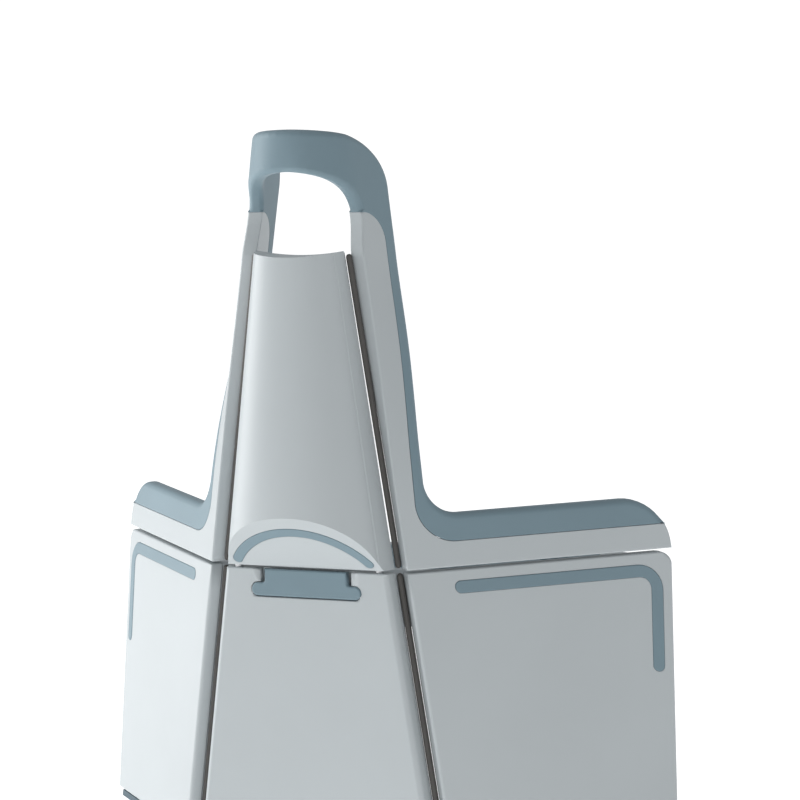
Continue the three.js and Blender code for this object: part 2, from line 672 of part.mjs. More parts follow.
function sidePanel() {
  const body = sidePlate(sideOutline(0), LINER + CLEAR, WALL);
  const hollow = sidePlate(sideOutline(SKIN), 0, WALL - SKIN);
  return body.subtract(hollow).subtract(cornerStrip(CLEAR, WALL - POCKET_DEPTH, WALL + 1));
}

// The ledge slopes down inwards and meets the deck's underside along the deck's edge.
const deckEdge = DECK_SIDE_GAP + FLARE * (RAIL_HEIGHT - deckBottom) * Math.sin(FOLD_ANGLE);
const ledgeTop = (inward) => deckBottom - CLEAR - LEDGE_SLOPE * (inward - deckEdge);

function sideLedge() {
  const outside = ledgeTop(CLEAR);
  const inside = ledgeTop(LEDGE_WIDTH);
  const profile = [[CLEAR, outside], [CLEAR, outside - LEDGE_DEPTH],
    [LEDGE_WIDTH, inside - LEDGE_LIP], [LEDGE_WIDTH, inside]];
  const geometry = extruded(profile, LEDGE_START, LEDGE_END);
  return solid(mapped(geometry, (inward, h, s) => sidePoint(s, h, -inward)));
}

const ledgeScrewS = [LEDGE_START + LEDGE_SCREW_MARGIN, LEDGE_END - LEDGE_SCREW_MARGIN];
const ledgeScrewHeight = deckBottom - LEDGE_SCREW_DROP;
const ledgeScrewRod = (s, radius, from, to) =>
  rod(sidePoint(s, ledgeScrewHeight, from), sidePoint(s, ledgeScrewHeight, to), radius);

// Wings of the guard: a low rail and a tall neck
const neckTop = NECK_TOP - CLEAR / 2;

function frontEdge(h) {
  const past = Math.max(0, (h - HOLE_START) / (NECK_TOP - HOLE_START));
  return EDGE_GAP + (HOLE_MARGIN - EDGE_GAP) * Math.min(1, past);
}

// The rounded rear corner of the rail, up to a height, inset by a margin.
function railCorner(from, to, margin) {
  const radius = RAIL_CORNER - margin;
  const angleAt = (h) => THREE.MathUtils.radToDeg(Math.asin(THREE.MathUtils.clamp(h / radius, 0, 1)));
  const centre = RAIL_HEIGHT - RAIL_CORNER;
  return arc(freeEdge(0) - RAIL_CORNER, centre, radius, angleAt(from - centre), angleAt(to - centre));
}

// The top of the rail's fillet and the neck's rear edge, from the rail up to a height.
function neckLine(railTop, inset, top, extra = 0) {
  const fillet = NECK_FILLET + inset / 2;
  const base = neckRear(railTop + fillet) - inset;
  const hollow = arc(base + fillet, railTop + fillet, fillet, 270, 180);
  const rise = steps(railTop + fillet, top).slice(1);
  return [...hollow, ...rise.map((h) => [neckRear(h) - inset - extra * spread(h), h])];
}

const hardRail = RAIL_HEIGHT - SOFT_RAIL - CLEAR / 2;
const softRail = RAIL_HEIGHT - SOFT_RAIL + CLEAR / 2;

function wingOutline() {
  const corner = railCorner(0, hardRail, 0);
  const neck = neckLine(hardRail, SOFT_NECK + CLEAR / 2, neckTop, SOFT_SPREAD);
  const front = steps(neckTop, columnLow).map((h) => [frontEdge(h), h]);
  return [[freeEdge(0), columnLow], ...corner, ...neck, ...front];
}

// The hollow inside the hard part of the rail, which the wing's liner closes.
function railHollow(margin) {
  const low = columnLow + margin;
  const high = hardRail - margin;
  const front = EDGE_GAP + margin;
  return [[freeEdge(0) - margin, low], ...railCorner(low, high, margin), [front, high], [front, low]];
}

function wingShell() {
  const body = twistedPlate(wingOutline(), 0, WALL);
  return body.subtract(twistedPlate(railHollow(SKIN), -1, WALL - SKIN));
}

// The soft edge: the top of the rail and the rear of the neck, over the wing's full thickness.
function softEdge() {
  const outer = [...railCorner(softRail, RAIL_HEIGHT, 0), ...neckLine(RAIL_HEIGHT, 0, neckTop)];
  const inner = neckLine(softRail, SOFT_NECK - CLEAR / 2, neckTop, SOFT_SPREAD).reverse();
  return twistedPlate([...outer, ...inner], 0, WALL);
}

// A quarter of a superellipse, from its side at the base to its top in the middle plane.
function roundedQuarter(reach, base, high, power) {
  const count = 14;
  return Array.from({ length: count + 1 }, (_, i) => {
    const angle = (i / count) * (Math.PI / 2);
    const across = Math.cos(angle) ** (2 / power);
    const up = Math.sin(angle) ** (2 / power);
    return [reach * across, base + (high - base) * up];
  });
}

// Half of the handle loop, from the crest's middle plane to the top of a neck.
function grip() {
  const low = NECK_TOP + CLEAR / 2;
  const shoulder = loopReach(neckRear(LOOP_SHOULDER), LOOP_SHOULDER);
  const outer = roundedQuarter(shoulder, LOOP_SHOULDER, GUARD_HEIGHT, LOOP_POWER);
  const hole = roundedQuarter(loopReach(HOLE_MARGIN, low), low, HOLE_TOP, 2);
  const rise = steps(low, LOOP_SHOULDER).slice(0, -1).map((h) => [loopReach(neckRear(h), h), h]);
  const inset = [...rise, ...outer, ...hole.reverse()].map(([c, h]) => [Math.max(c, CLEAR / 2), h]);
  const cut = sliced(sliced(extruded(inset, 0, WALL), 0, BEND_SLICE), 1, TWIST_SLICE);
  return solid(mapped(cut, loopPoint));
}

const axisPoint = (h) => [axisHalf(h), WALL, SEAM_HEIGHT + h];
const hingeEnd = SEAM_GAP / 2 + HINGE_RADIUS * FLARE + CLEAR;

function footStrip() {
  const low = -SEAM_HEIGHT;
  const outline = [[FOOT_MARGIN, low], [freeEdge(low) - FOOT_MARGIN, low],
    [freeEdge(low) - FOOT_MARGIN, low + FOOT_HEIGHT], [FOOT_MARGIN, low + FOOT_HEIGHT]];
  return sidePlate(outline, 1, WALL - 1);
}

function buildSide(side) {
  const group = new THREE.Group();
  const add = (name, finish, body) => place(`${side}_${name}`, finish, geometryOf(body), group);
  let panel = sidePanel();
  let liner = sidePlate(sideOutline(CLEAR), 0, LINER);
  let ledge = sideLedge();
  ledgeScrewS.forEach((s, i) => {
    panel = panel.add(ledgeScrewRod(s, BOSS_RADIUS, LINER + CLEAR + BOSS_RADIUS * FLARE, WALL - SKIN / 2));
    panel = panel.subtract(ledgeScrewRod(s, SCREW_RADIUS + CLEAR, 0, WALL - SKIN - 1));
    liner = liner.subtract(ledgeScrewRod(s, SCREW_RADIUS + CLEAR, -1, LINER + 1));
    ledge = ledge.subtract(ledgeScrewRod(s, SCREW_RADIUS + CLEAR, -LEDGE_WIDTH - 1, 0));
    ledge = ledge.subtract(ledgeScrewRod(s, HEAD_RADIUS + CLEAR, -LEDGE_WIDTH - 1, -LEDGE_LIP * 2));
    const headBase = -LEDGE_LIP * 2 - CLEAR;
    const head = ledgeScrewRod(s, HEAD_RADIUS, headBase - HEAD_THICKNESS, headBase);
    const shank = ledgeScrewRod(s, SCREW_RADIUS, headBase - 1, WALL - SKIN * 2);
    add(`ledge_screw_${i + 1}`, "steel", head.add(shank));
  });
  add("panel", "shell", panel);
  add("liner", "liner", liner);
  add("ledge", "liner", ledge);
  add("corner_strip", "soft", cornerStrip(0, WALL - POCKET_DEPTH + CLEAR, WALL + STRIP_PROUD));
  add("foot", "foot", footStrip());
  add("wing", "shell", wingShell());
  add("wing_liner", "liner", twistedPlate(railHollow(SKIN + CLEAR), 0, LINER));
  add("soft_edge", "soft", softEdge());
  add("grip", "soft", grip());
  add("lower_hinge", "hinge", rod(axisPoint(-SEAM_HEIGHT + FOOT_HEIGHT), axisPoint(-hingeEnd), HINGE_RADIUS));
  add("upper_hinge", "hinge", rod(axisPoint(hingeEnd), axisPoint(HOLE_START - FOOT_HEIGHT), HINGE_RADIUS));
  add("tenon", "steel", tenonRod(TENON_X, TENON_RADIUS, TENON_REACH));
  return group;
}

const rightSide = buildSide("right");
const leftSide = buildSide("left");
leftSide.scale.x = -1;
object.add(rightSide, leftSide);

// The origin is under the middle of the object's box, on the floor.
object.updateMatrixWorld(true);
const middle = new THREE.Box3().setFromObject(object).getCenter(new THREE.Vector3());
object.position.y = -middle.y;

export default object;
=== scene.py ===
import math

import bmesh
import bpy
from mathutils import Matrix, Vector


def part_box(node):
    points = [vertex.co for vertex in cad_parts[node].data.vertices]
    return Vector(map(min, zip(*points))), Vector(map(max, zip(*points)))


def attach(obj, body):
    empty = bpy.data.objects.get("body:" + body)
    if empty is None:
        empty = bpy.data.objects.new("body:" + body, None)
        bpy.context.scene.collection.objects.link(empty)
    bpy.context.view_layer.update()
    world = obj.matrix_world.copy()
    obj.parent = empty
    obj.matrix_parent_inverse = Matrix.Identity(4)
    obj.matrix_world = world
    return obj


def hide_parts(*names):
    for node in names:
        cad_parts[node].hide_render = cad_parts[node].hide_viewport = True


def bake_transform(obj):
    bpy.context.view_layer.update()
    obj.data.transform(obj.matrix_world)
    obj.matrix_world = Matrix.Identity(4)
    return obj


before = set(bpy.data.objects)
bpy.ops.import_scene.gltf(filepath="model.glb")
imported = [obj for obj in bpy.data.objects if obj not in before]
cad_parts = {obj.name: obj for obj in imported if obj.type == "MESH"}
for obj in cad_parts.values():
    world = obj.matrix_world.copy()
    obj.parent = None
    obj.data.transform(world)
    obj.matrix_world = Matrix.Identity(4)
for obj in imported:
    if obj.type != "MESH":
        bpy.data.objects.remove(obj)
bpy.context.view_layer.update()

MM = 0.001

# Sizes shared with the CAD
GUARD_HEIGHT = 421
SIDE_LENGTH = 277
AXIS_HALF = 92.4
FLARE = 0.142
FOLD_ANGLE = math.radians(44)
SEAM_HEIGHT = 280
WALL = 15
SKIN = 3
LINER = 2.5
CLEAR = 0.3
SEAM_HALF = 1.5
EDGE_GAP = 3.2
FRONT_DRAFT = 4
FOOT_HEIGHT = 6
CORNER_RADIUS = 12
RAIL_HEIGHT = 52
RAIL_CORNER = 44
NECK_WIDTH = 30
NECK_GROWTH = 0.056
NECK_SPREAD = 13.5
SPREAD_START = 110
SPREAD_END = GUARD_HEIGHT - 111
NECK_FILLET = 30
NECK_TWIST = math.radians(36)
TWIST_START = RAIL_HEIGHT
TWIST_END = GUARD_HEIGHT - 121
SOFT_RAIL = 26
SOFT_NECK = 12
SOFT_SPREAD = 6
HOLE_MARGIN = 11
HOLE_TOP = GUARD_HEIGHT - 40
LOOP_BEND = 33
LOOP_SHOULDER = GUARD_HEIGHT - 63
LOOP_POWER = 2.05
NECK_TOP = GUARD_HEIGHT - 91
COLUMN_TOP = GUARD_HEIGHT - 116
COLUMN_SCOOP = 4
COLUMN_BULGE = 0.5
COLUMN_POWER = 2.1
COLUMN_SWEEP = math.radians(84)
COLUMN_FLANK = 8
TOE_LEAN = 0.7
ARC_HALF_CHORD = 70
ARC_LOW = 8
ARC_HIGH = 46
STRIP_WIDTH = 12
STRIP_PROUD = 0.5
POCKET_DEPTH = 1.2
STRIP_START = 57
STRIP_TOP_MARGIN = 18
STRIP_EDGE_MARGIN = 17
STRIP_LOW = 111
STRIP_BEND = 20
TAB_NECK_HALF = 46
TAB_NECK_DEPTH = 15
TAB_FLANGE_HALF = 61
TAB_FLANGE_HEIGHT = 13
TAB_THICKNESS = 5
TAB_PROUD = 1.2
TAB_GAP = 1
SLOT_GAP = 5

FRONT_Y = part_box("front_panel")[0].y
SEAM_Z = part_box("front_panel")[1].z + SEAM_HALF * MM
SIDES = {"left": -1, "right": 1}
TRAY = LINER + CLEAR
CUTTER_RIM = 0.01  # a cutter's edges stay sharp


# ---------------------------------------------------------------- materials
MOTTLE = 6.0
SPECULAR = 0.5


def node_of(tree, kind, **values):
    node = tree.nodes.new(kind)
    for name, value in values.items():
        if name in node.inputs:
            node.inputs[name].default_value = value
        else:
            setattr(node, name, value)
    return node


def moulded(name, colour, shift, roughness, spread, grain, depth, sheen=0.0, metallic=0.0):
    """A moulded surface: fine grain in its bump, and slow variation in its colour and roughness."""
    material = bpy.data.materials.new(name)
    material.use_nodes = True
    tree = material.node_tree
    shader = tree.nodes["Principled BSDF"]
    shader.inputs["Metallic"].default_value = metallic
    shader.inputs["Specular IOR Level"].default_value = SPECULAR
    shader.inputs["Sheen Weight"].default_value = sheen
    place = node_of(tree, "ShaderNodeTexCoord")
    slow = node_of(tree, "ShaderNodeTexNoise", Scale=MOTTLE, Detail=4.0, Roughness=0.55)
    fine = node_of(tree, "ShaderNodeTexNoise", Scale=grain, Detail=3.0, Roughness=0.6)
    for texture in (slow, fine):
        tree.links.new(place.outputs["Object"], texture.inputs["Vector"])
    tint = node_of(tree, "ShaderNodeValToRGB")
    for stop, factor, level in ((0, 1 - shift, 0.35), (1, 1 + shift, 0.65)):
        tint.color_ramp.elements[stop].position = level
        tint.color_ramp.elements[stop].color = [min(1.0, c * factor) for c in colour] + [1]
    tree.links.new(slow.outputs["Fac"], tint.inputs["Fac"])
    tree.links.new(tint.outputs["Color"], shader.inputs["Base Color"])
    gloss = node_of(tree, "ShaderNodeMapRange")
    gloss.inputs["To Min"].default_value = roughness - spread
    gloss.inputs["To Max"].default_value = roughness + spread
    tree.links.new(fine.outputs["Fac"], gloss.inputs["Value"])
    tree.links.new(gloss.outputs["Result"], shader.inputs["Roughness"])
    bump = node_of(tree, "ShaderNodeBump", Strength=0.5, Distance=depth)
    tree.links.new(fine.outputs["Fac"], bump.inputs["Height"])
    tree.links.new(bump.outputs["Normal"], shader.inputs["Normal"])
    return material


MATERIALS = {
    "shell": moulded("shell_plastic", (0.505, 0.545, 0.56), 0.015, 0.36, 0.05, 1500, 0.00004),
    "liner": moulded("liner_plastic", (0.46, 0.50, 0.52), 0.03, 0.55, 0.06, 900, 0.0001),
    "soft": moulded("soft_touch", (0.19, 0.275, 0.32), 0.04, 0.55, 0.06, 2200, 0.00006, sheen=0.12),
    "hinge": moulded("hinge_rubber", (0.085, 0.08, 0.075), 0.1, 0.6, 0.08, 1200, 0.0001),
    "foot": moulded("foot_rubber", (0.10, 0.14, 0.165), 0.08, 0.8, 0.08, 700, 0.0002),
    "steel": moulded("zinc_steel", (0.55, 0.56, 0.57), 0.05, 0.32, 0.08, 600, 0.00005, metallic=1.0),
}


def finish(piece, slot, body=None, replaced=()):
    """Gives a new piece its material, body and the nodes it stands for."""
    piece.data.materials.clear()
    piece.data.materials.append(MATERIALS[slot])
    if body:
        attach(piece, body)
    if replaced:
        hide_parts(*replaced)
    return piece


# ---------------------------------------------------------------- outlines
def arc(cx, cy, radius, start, end, steps=8):
    angles = [math.radians(start + (end - start) * i / steps) for i in range(steps + 1)]
    return [(cx + radius * math.cos(a), cy + radius * math.sin(a)) for a in angles]


def rise(low, high, spacing=12):
    count = max(1, round(abs(high - low) / spacing))
    return [low + (high - low) * i / count for i in range(count + 1)]


def spaced(points, spacing):
    """The same closed outline with more points on its long edges."""
    dense = []
    for a, b in zip(points, points[1:] + points[:1]):
        count = max(1, round(math.dist(a, b) / spacing))
        dense += [(a[0] + (b[0] - a[0]) * i / count, a[1] + (b[1] - a[1]) * i / count) for i in range(count)]
    return dense


def filleted(points, radius, steps=6):
    """A closed outline with each corner rounded."""
    rounded = []
    count = len(points)
    for i, corner in enumerate(points):
        here = Vector(corner)
        back = Vector(points[i - 1]) - here
        ahead = Vector(points[(i + 1) % count]) - here
        half = back.angle(ahead) / 2
        reach = min(radius / math.tan(half), back.length * 0.45, ahead.length * 0.45)
        start = here + back.normalized() * reach
        end = here + ahead.normalized() * reach
        for k in range(steps + 1):
            u = k / steps
            point = start * (1 - u) ** 2 + here * 2 * u * (1 - u) + end * u**2
            rounded.append(tuple(point))
    return rounded


def band(line, half):
    """The outline of a band of constant width with round ends, along a centre line."""

    def side(sign):
        moved = []
        for i, (x, y) in enumerate(line):
            ax, ay = line[max(i - 1, 0)]
            bx, by = line[min(i + 1, len(line) - 1)]
            length = math.hypot(bx - ax, by - ay)
            moved.append((x - sign * half * (by - ay) / length, y + sign * half * (bx - ax) / length))
        return moved

    def heading(a, b):
        return math.degrees(math.atan2(b[1] - a[1], b[0] - a[0]))

    last, first = heading(line[-2], line[-1]), heading(line[1], line[0])
    end = arc(*line[-1], half, last - 90, last + 90, 12)[1:-1]
    start = arc(*line[0], half, first - 90, first + 90, 12)[1:-1]
    return side(-1) + end + side(1)[::-1] + start


def inset(outline, amounts):
    """A counterclockwise outline moved inwards by its own amount at each point."""
    moved = []
    count = len(outline)
    for i, (x, y) in enumerate(outline):
        before = (Vector((x, y)) - Vector(outline[i - 1])).normalized()
        after = (Vector(outline[(i + 1) % count]) - Vector((x, y))).normalized()
        first, second = Vector((-before.y, before.x)), Vector((-after.y, after.x))
        middle = (first + second).normalized()
        step = amounts[i] / max(0.5, middle.dot(first))
        moved.append((x + middle.x * step, y + middle.y * step))
    return moved


def area_of(points):
    return sum(a[0] * b[1] - b[0] * a[1] for a, b in zip(points, points[1:] + points[:1])) / 2


# ---------------------------------------------------------------- charts
def axis_half(h):
    return AXIS_HALF - FLARE * h


def smooth(value, start, end):
    u = min(1, max(0, (value - start) / (end - start)))
    return u * u * (3 - 2 * u)


def neck_rear(h):
    return NECK_WIDTH + NECK_GROWTH * h + NECK_SPREAD * smooth(h, SPREAD_START, SPREAD_END)


def free_edge(h):
    return SIDE_LENGTH + FLARE * h


def fold_angle(h):
    return FOLD_ANGLE + NECK_TWIST * smooth(h, TWIST_START, TWIST_END)


def point(x, y, h):
    return Vector((x * MM, FRONT_Y + y * MM, SEAM_Z + h * MM))


def side_point(s, h, t):
    """s runs from the fold axis along the side, h up from the seam, t from the inner face to the outer."""
    a = fold_angle(h)
    x = axis_half(h) + s * math.cos(a) + t * math.sin(a)
    y = WALL + s * math.sin(a) - t * math.cos(a)
    return point(x, y, h)


def loop_point(c, h, t):
    """c runs from the crest's middle plane outwards along the loop's inner face."""
    a = fold_angle(h)
    flat = axis_half(h) + HOLE_MARGIN * math.cos(a) - LOOP_BEND * math.sin(a)
    front = WALL + HOLE_MARGIN * math.sin(a) - LOOP_BEND * (1 - math.cos(a))
    if c <= flat:
        return point(c, front - t, h)
    turned = (c - flat) / LOOP_BEND
    if turned >= a:
        return side_point(c - flat - LOOP_BEND * a + HOLE_MARGIN, h, t)
    radius = LOOP_BEND + t
    return point(flat + radius * math.sin(turned), front + LOOP_BEND - radius * math.cos(turned), h)


def loop_reach(s, h):
    a = fold_angle(h)
    flat = axis_half(h) + HOLE_MARGIN * math.cos(a) - LOOP_BEND * math.sin(a)
    return flat + LOOP_BEND * a + s - HOLE_MARGIN


def front_point(x, h, t):
    """The front panel's chart: its face narrows a little towards the front."""
    narrow = 1 - FRONT_DRAFT * t / WALL / (axis_half(h) - EDGE_GAP)
    return point(x * narrow, WALL - t, h)


def toe_point(x, v, n):
    """The inclined toe face: v runs up along it and n stands off it."""
    lean = math.atan(TOE_LEAN)
    y = -v * math.sin(lean) - n * math.cos(lean)
    return point(x, y, SEAM_HALF + v * math.cos(lean) - n * math.sin(lean))


def flat_point(x, y, h):
    return point(x, y, h)


def mirrored(place, side):
    return lambda a, b, t: Vector((side * 1.0, 1, 1)) * place(a, b, t)


# ---------------------------------------------------------------- mesh building
def add_object(name, mesh, smooth=True):
    if smooth:
        for polygon in mesh.polygons:
            polygon.use_smooth = True
    piece = bpy.data.objects.new(name, mesh)
    bpy.context.scene.collection.objects.link(piece)
    return piece


def from_bmesh(name, bm, smooth=True):
    bmesh.ops.remove_doubles(bm, verts=bm.verts, dist=1e-6)
    bmesh.ops.recalc_face_normals(bm, faces=bm.faces)
    mesh = bpy.data.meshes.new(name)
    bm.to_mesh(mesh)
    bm.free()
    return add_object(name, mesh, smooth)


def weighted(piece):
    modifier = piece.modifiers.new("normals", "WEIGHTED_NORMAL")
    modifier.keep_sharp = True
    modifier.weight = 50
    return piece


def bevelled(piece, width, segments=3, angle=32):
    modifier = piece.modifiers.new("edges", "BEVEL")
    modifier.width = width * MM
    modifier.segments = segments
    modifier.limit_method = "ANGLE"
    modifier.angle_limit = math.radians(angle)
    modifier.use_clamp_overlap = True
    return piece


def skinned(bm, rings):
    """Joins rings of as many points each into a closed skin with flat ends."""
    count = len(rings[0])
    for lower, upper in zip(rings, rings[1:]):
        for i in range(count):
            j = (i + 1) % count
            bm.faces.new((lower[i], lower[j], upper[j], upper[i]))
    bm.faces.new(rings[0][::-1])
    bm.faces.new(rings[-1])


def everything(bm):
    return bm.verts[:] + bm.edges[:] + bm.faces[:]


def rim_rings(bm, outline, low, high, rim_low, rim_high, steps):
    """The rings of a plate, from its lower rim's rounding to its upper rim's."""
    lows = [rim_low(*p) if callable(rim_low) else rim_low for p in outline]
    highs = [rim_high(*p) if callable(rim_high) else rim_high for p in outline]
    rings = []
    for radii, start, sign in ((lows, low, 1), (highs, high, -1)):
        side = []
        for k in range(steps + 1):
            turn = k / steps * math.pi / 2
            moved = inset(outline, [r * (1 - math.sin(turn)) for r in radii])
            lifts = [start + sign * r * (1 - math.cos(turn)) for r in radii]
            side.append([bm.verts.new((x, y, lift)) for (x, y), lift in zip(moved, lifts)])
        rings += side if sign == 1 else side[::-1]
    return rings


def gridded(bm, grid):
    """Cuts a flat plate along both its axes, so that it can follow a bent chart."""
    for axis in (0, 1):
        values = [v.co[axis] for v in bm.verts]
        normal = Vector((1, 0, 0)) if axis == 0 else Vector((0, 1, 0))
        spacing = grid[axis]
        step = math.ceil(min(values) / spacing) * spacing
        while step < max(values):
            bmesh.ops.bisect_plane(
                bm, geom=everything(bm), dist=1e-4, plane_co=normal * step, plane_no=normal
            )
            step += spacing


def ended(bm, place):
    """Ends a plate with a sharp flat face at a place on its first axis."""
    made = bmesh.ops.bisect_plane(
        bm, geom=everything(bm), plane_co=(place, 0, 0), plane_no=(1, 0, 0), clear_inner=True
    )
    edges = [e for e in made["geom_cut"] if isinstance(e, bmesh.types.BMEdge)]
    bmesh.ops.edgenet_fill(bm, edges=edges)
    for edge in edges:
        edge.smooth = False


def plate_mesh(outline, low, high, place, rim_low, rim_high, grid, steps, ends):
    if area_of(outline) < 0:
        outline = outline[::-1]
    bm = bmesh.new()
    skinned(bm, rim_rings(bm, outline, low, high, rim_low, rim_high, steps))
    if grid:
        gridded(bm, grid)
    if ends is not None:
        ended(bm, ends)
    for vertex in bm.verts:
        vertex.co = place(*vertex.co)
    return bm


def plate(
    name, outline, low, high, place, rim_low=0.8, rim_high=1.0, grid=None, steps=4, ends=None
):
    """A plate with rounded rims, from an outline in a chart and the two offsets it lies between.
    Where ends is given, the plate stops there on its first axis, for its other half to meet."""
    bm = plate_mesh(outline, low, high, place, rim_low, rim_high, grid, steps, ends)
    return weighted(from_bmesh(name, bm))


def cutter(name, outline, low, high, place):
    return plate(name, outline, low, high, place, CUTTER_RIM, CUTTER_RIM, steps=1)


def applied(piece):
    graph = bpy.context.evaluated_depsgraph_get()
    mesh = bpy.data.meshes.new_from_object(piece.evaluated_get(graph))
    piece.modifiers.clear()
    piece.data = mesh
    return piece


def cut(piece, *cutters):
    """Takes the cutters' volumes out of a piece, and removes the cutters."""
    kept = [m.type for m in piece.modifiers]
    piece.modifiers.clear()
    for cutter in cutters:
        cutter.modifiers.clear()
        modifier = piece.modifiers.new("cut", "BOOLEAN")
        modifier.operation = "DIFFERENCE"
        modifier.solver = "EXACT"
        modifier.object = cutter
        applied(piece)
        bpy.data.objects.remove(cutter)
    if "WEIGHTED_NORMAL" in kept:
        weighted(piece)
    return piece


# ---------------------------------------------------------------- base: front panel and latch
front_low = -SEAM_HEIGHT + FOOT_HEIGHT + CLEAR
front_high = -SEAM_HALF


def front_half(h):
    return axis_half(h) - EDGE_GAP


def rectangle(half, low, high):
    return [(-half, low), (half, low), (half, high), (-half, high)]


flange_top = -TAB_NECK_DEPTH
flange_bottom = flange_top - TAB_FLANGE_HEIGHT


def flange_outline(gap):
    middle = (flange_top + flange_bottom) / 2
    radius = TAB_FLANGE_HEIGHT / 2 + gap
    end = TAB_FLANGE_HALF - TAB_FLANGE_HEIGHT / 2
    return arc(end, middle, radius, -90, 90) + arc(-end, middle, radius, 90, 270)


corners = [(-front_half(front_low), front_low), (front_half(front_low), front_low)]
corners += [(front_half(front_high), front_high), (-front_half(front_high), front_high)]
front_outline = spaced(filleted(corners, 2), 20)
front = plate(
    "front_panel_shell",
    front_outline,
    TRAY,
    WALL,
    front_point,
    0.8,
    lambda x, h: 1.6 if h > front_high - 1 else 4.5,
    (30, 30),
    6,
)
tab_floor = WALL + TAB_PROUD - TAB_THICKNESS - 1.6
slot = rectangle(TAB_NECK_HALF + SLOT_GAP, flange_top, SEAM_HALF * 2)
pocket = cutter("pocket", flange_outline(TAB_GAP * 0.8), tab_floor, WALL + 3, front_point)
slots = cutter("slots", slot, WALL - 9, WALL + 3, front_point)
cut(front, pocket, slots)
finish(front, "shell", "base", ["front_panel"])

tab_middle = (flange_top + flange_bottom) / 2
tab_end = TAB_FLANGE_HALF - TAB_FLANGE_HEIGHT / 2
tab_outline = arc(-tab_end, tab_middle, TAB_FLANGE_HEIGHT / 2, 90, 270, 12)
tab_outline += arc(tab_end, tab_middle, TAB_FLANGE_HEIGHT / 2, -90, 90, 12)
tab_outline += arc(TAB_NECK_HALF + 3, flange_top + 3, 3, -90, -180, 5)
tab_outline += [(TAB_NECK_HALF, front_high), (-TAB_NECK_HALF, front_high)]
tab_outline += arc(-TAB_NECK_HALF - 3, flange_top + 3, 3, 0, -90, 5)
tab_face = WALL + TAB_PROUD
tab = plate("latch_tab_cover", tab_outline, tab_face - TAB_THICKNESS, tab_face, front_point, 0.5, 1.8)
finish(tab, "soft", "latch", ["latch_tab"])

# ---------------------------------------------------------------- guard: column and arc strip
column_low = SEAM_HALF


def column_section(h):
    """The column's plan section at a height, counterclockwise from the back's left corner."""
    ratio = (axis_half(h) - EDGE_GAP) / (axis_half(column_low) - EDGE_GAP)
    half = axis_half(h) - EDGE_GAP
    reach = (axis_half(column_low) - EDGE_GAP - COLUMN_FLANK) * ratio
    depth = COLUMN_BULGE * reach
    power = 2 / COLUMN_POWER
    right = []
    for i in range(25):
        turn = i / 24 * COLUMN_SWEEP
        x = reach * math.sin(turn) ** power / math.sin(COLUMN_SWEEP) ** power
        y = -depth * (math.cos(turn) ** power)
        right.append((x, y))
    x, y = right[-1]
    right += [(x + 0.7, y + 0.5), (x + 1.1, y + 1.3), (x + 1.2, y + 2.2), (x + 1.5, y + 3.1)]
    right += [(half - 0.6, WALL - TRAY - 1.0), (half, WALL - TRAY)]
    return [(-x, y) for x, y in right[:0:-1]] + right


def loft(name, sections, place=flat_point):
    """A closed solid through sections, each a height and its outline."""
    bm = bmesh.new()
    rings = [[bm.verts.new(place(x, y, h)) for x, y in outline] for h, outline in sections]
    skinned(bm, rings)
    return from_bmesh(name, bm)


column = loft("column_cover", [(h, column_section(h)) for h in (column_low, COLUMN_TOP)])
reach = 2 * AXIS_HALF
toe = [(0, column_low), (-TOE_LEAN * AXIS_HALF, column_low + AXIS_HALF), (-reach, column_low + AXIS_HALF)]
toe += [(-reach, column_low - reach), (0, column_low - reach)]
toe_cutter = cutter("toe", toe, -reach, reach, lambda y, h, x: flat_point(x, y, h))
top_half = axis_half(COLUMN_TOP) - EDGE_GAP
scoop_radius = (top_half**2 + COLUMN_SCOOP**2) / (2 * COLUMN_SCOOP)
scoop = arc(0, COLUMN_TOP - COLUMN_SCOOP + scoop_radius, scoop_radius, -110, -70, 48)
scoop_cutter = cutter("scoop", scoop, -60, 60, lambda x, h, y: flat_point(x, y, h))
cut(column, toe_cutter, scoop_cutter)
bevelled(column, 2.4, 4, 38)
weighted(column)


def arc_line():
    high = ARC_HIGH - ARC_LOW
    radius = (ARC_HALF_CHORD**2 + high**2) / (2 * high)
    swing = math.degrees(math.asin(ARC_HALF_CHORD / radius))
    return arc(0, ARC_HIGH - radius, radius, 90 + swing, 90 - swing, 40)


arc_half = STRIP_WIDTH / 2 - 1
groove_outline = band(arc_line(), arc_half + CLEAR)
groove = cutter("groove", groove_outline, -POCKET_DEPTH, 2, toe_point)
applied(column)
cut(column, groove)
weighted(column)
finish(column, "shell", "guard", ["column_shell"])
arc_outline = band(arc_line(), arc_half)
arc_floor = -POCKET_DEPTH + CLEAR
arc_strip = plate("arc_strip_band", arc_outline, arc_floor, STRIP_PROUD, toe_point, 0.2, 0.9)
finish(arc_strip, "soft", "guard", ["arc_strip"])


# ---------------------------------------------------------------- sides: panels and their corner strips
def side_outline():
    low, high = front_low, front_high
    rear = free_edge(high - CORNER_RADIUS) - CORNER_RADIUS
    corner = arc(rear, high - CORNER_RADIUS, CORNER_RADIUS, 0, 90, 10)
    points = [(EDGE_GAP, low), (free_edge(low), low)] + corner + [(EDGE_GAP, high)]
    return spaced(points, 24)


def strip_line():
    rear = SIDE_LENGTH - STRIP_EDGE_MARGIN
    bend = arc(rear - STRIP_BEND, -STRIP_TOP_MARGIN - STRIP_BEND, STRIP_BEND, 90, 0, 12)
    line = [(STRIP_START, -STRIP_TOP_MARGIN)] + bend + [(rear, -STRIP_LOW)]
    return [(s + FLARE * h, h) for s, h in line]


def side_rim(s, h):
    return 1.6 if h > front_high - 1 else 3.5


